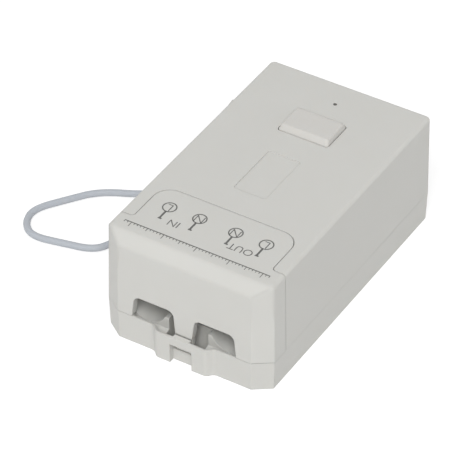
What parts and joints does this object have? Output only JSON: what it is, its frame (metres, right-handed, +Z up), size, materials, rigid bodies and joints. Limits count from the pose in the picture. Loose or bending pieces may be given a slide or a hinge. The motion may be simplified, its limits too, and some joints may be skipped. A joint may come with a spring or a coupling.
{
  "type": "radio receiver module",
  "caption": "Mains radio receiver in a small moulded case with a push button, a tilting terminal cover, cable mouths and a wire aerial loop.",
  "frame": {"origin": "middle of the flat face that the case stands on, halfway along the body at the joint between base and housing", "axes": "+X to the right seen from the terminal end, +Y along the case towards the button end, -Y towards the terminal cover, +Z up out of the top face"},
  "size_m": [0.0948, 0.0898, 0.0362],
  "materials": {
    "case_plastic": "fine satin",
    "button_plastic": "fine satin",
    "aerial_sheath": "satin",
    "board_laminate": "satin solder mask",
    "screw_steel": "zinc plated",
    "terminal_brass": "tinned",
    "terminal_plastic": "satin",
    "dark_plastic": "satin",
    "relay_plastic": "smooth",
    "film_case": "smooth",
    "can_sleeve": "smooth",
    "ferrite": "matt",
    "winding_tape": "satin",
    "varistor_coating": "satin",
    "fuse_case": "satin",
    "tinned_can": "tinned",
    "lamp_lens": "tinted, frosted",
    "switch_plastic": "satin"
  },
  "bodies": {
    "case": {"aerial_leads": "aerial_sheath", "aerial_wire": "aerial_sheath", "base_tray": "case_plastic", "board_header": "dark_plastic", "board_screws": "screw_steel", "bridge_rectifier": "dark_plastic", "case_screws": "screw_steel", "choke": "dark_plastic", "control_board": "board_laminate", "crystal": "tinned_can", "electrolytic_capacitors": "can_sleeve", "film_capacitor": "film_case", "fuse": "fuse_case", "header_pins": "terminal_brass", "indicator_led": "lamp_lens", "microcontroller": "dark_plastic", "power_board": "board_laminate", "radio_can": "tinned_can", "relay": "relay_plastic", "tact_switch_body": "switch_plastic", "terminal_block_in": "terminal_plastic", "terminal_block_out": "terminal_plastic", "terminal_contacts": "terminal_brass", "top_housing": "case_plastic", "transformer_core": "ferrite", "transformer_winding": "winding_tape", "varistor": "varistor_coating"},
    "cover": {"terminal_cover": "case_plastic", "cover_latch": "case_plastic"},
    "button": {"program_button": "button_plastic"},
    "plunger": {"tact_switch_plunger": "switch_plastic"},
    "clamp_in": {"cable_clamp_in": "case_plastic", "clamp_screws_in": "screw_steel"},
    "clamp_out": {"cable_clamp_out": "case_plastic", "clamp_screws_out": "screw_steel"},
    "cage_in_neutral": {"terminal_cage_in_neutral": "terminal_brass"},
    "screw_in_neutral": {"terminal_screw_in_neutral": "screw_steel"},
    "cage_in_live": {"terminal_cage_in_live": "terminal_brass"},
    "screw_in_live": {"terminal_screw_in_live": "screw_steel"},
    "cage_out_neutral": {"terminal_cage_out_neutral": "terminal_brass"},
    "screw_out_neutral": {"terminal_screw_out_neutral": "screw_steel"},
    "cage_out_live": {"terminal_cage_out_live": "terminal_brass"},
    "screw_out_live": {"terminal_screw_out_live": "screw_steel"}
  },
  "joints": [
    {"name": "cover_tilt", "type": "hinge", "parent": "case", "child": "cover", "pos_m": [0, -0.0198, 0.03475], "axis": [-1, 0, 0], "range_deg": [0, 50], "deforming": ["cover_latch"]},
    {"name": "button_press", "type": "slide", "parent": "case", "child": "button", "axis": [0, 0, -1], "range_m": [0, 0.0004], "stiffness_N_per_m": 400, "springref_m": -0.0005},
    {"name": "plunger_press", "type": "slide", "parent": "case", "child": "plunger", "axis": [0, 0, -1], "range_m": [0, 0.0004]},
    {"name": "turn_screw_in_neutral", "type": "hinge", "parent": "case", "child": "screw_in_neutral", "pos_m": [-0.0055, -0.0267, 0.0222], "axis": [0, 0, -1], "range_deg": [0, 1296]},
    {"name": "raise_cage_in_neutral", "type": "slide", "parent": "case", "child": "cage_in_neutral", "axis": [0, 0, 1], "range_m": [0, 0.0018]},
    {"name": "turn_screw_in_live", "type": "hinge", "parent": "case", "child": "screw_in_live", "pos_m": [-0.0148, -0.0267, 0.0222], "axis": [0, 0, -1], "range_deg": [0, 1296]},
    {"name": "raise_cage_in_live", "type": "slide", "parent": "case", "child": "cage_in_live", "axis": [0, 0, 1], "range_m": [0, 0.0018]},
    {"name": "turn_screw_out_neutral", "type": "hinge", "parent": "case", "child": "screw_out_neutral", "pos_m": [0.0055, -0.0267, 0.0222], "axis": [0, 0, -1], "range_deg": [0, 1296]},
    {"name": "raise_cage_out_neutral", "type": "slide", "parent": "case", "child": "cage_out_neutral", "axis": [0, 0, 1], "range_m": [0, 0.0018]},
    {"name": "turn_screw_out_live", "type": "hinge", "parent": "case", "child": "screw_out_live", "pos_m": [0.0148, -0.0267, 0.0222], "axis": [0, 0, -1], "range_deg": [0, 1296]},
    {"name": "raise_cage_out_live", "type": "slide", "parent": "case", "child": "cage_out_live", "axis": [0, 0, 1], "range_m": [0, 0.0018]},
    {"name": "loosen_clamp_in", "type": "slide", "parent": "case", "child": "clamp_in", "axis": [0, 0, 1], "range_m": [0, 0.005]},
    {"name": "loosen_clamp_out", "type": "slide", "parent": "case", "child": "clamp_out", "axis": [0, 0, 1], "range_m": [0, 0.005]}
  ],
  "couplings": [
    {"joint": "plunger_press", "follows": "button_press", "ratio": 1},
    {"joint": "turn_screw_in_neutral", "follows": "raise_cage_in_neutral", "rad_per_m": 12566},
    {"joint": "turn_screw_in_live", "follows": "raise_cage_in_live", "rad_per_m": 12566},
    {"joint": "turn_screw_out_neutral", "follows": "raise_cage_out_neutral", "rad_per_m": 12566},
    {"joint": "turn_screw_out_live", "follows": "raise_cage_out_live", "rad_per_m": 12566}
  ]
}
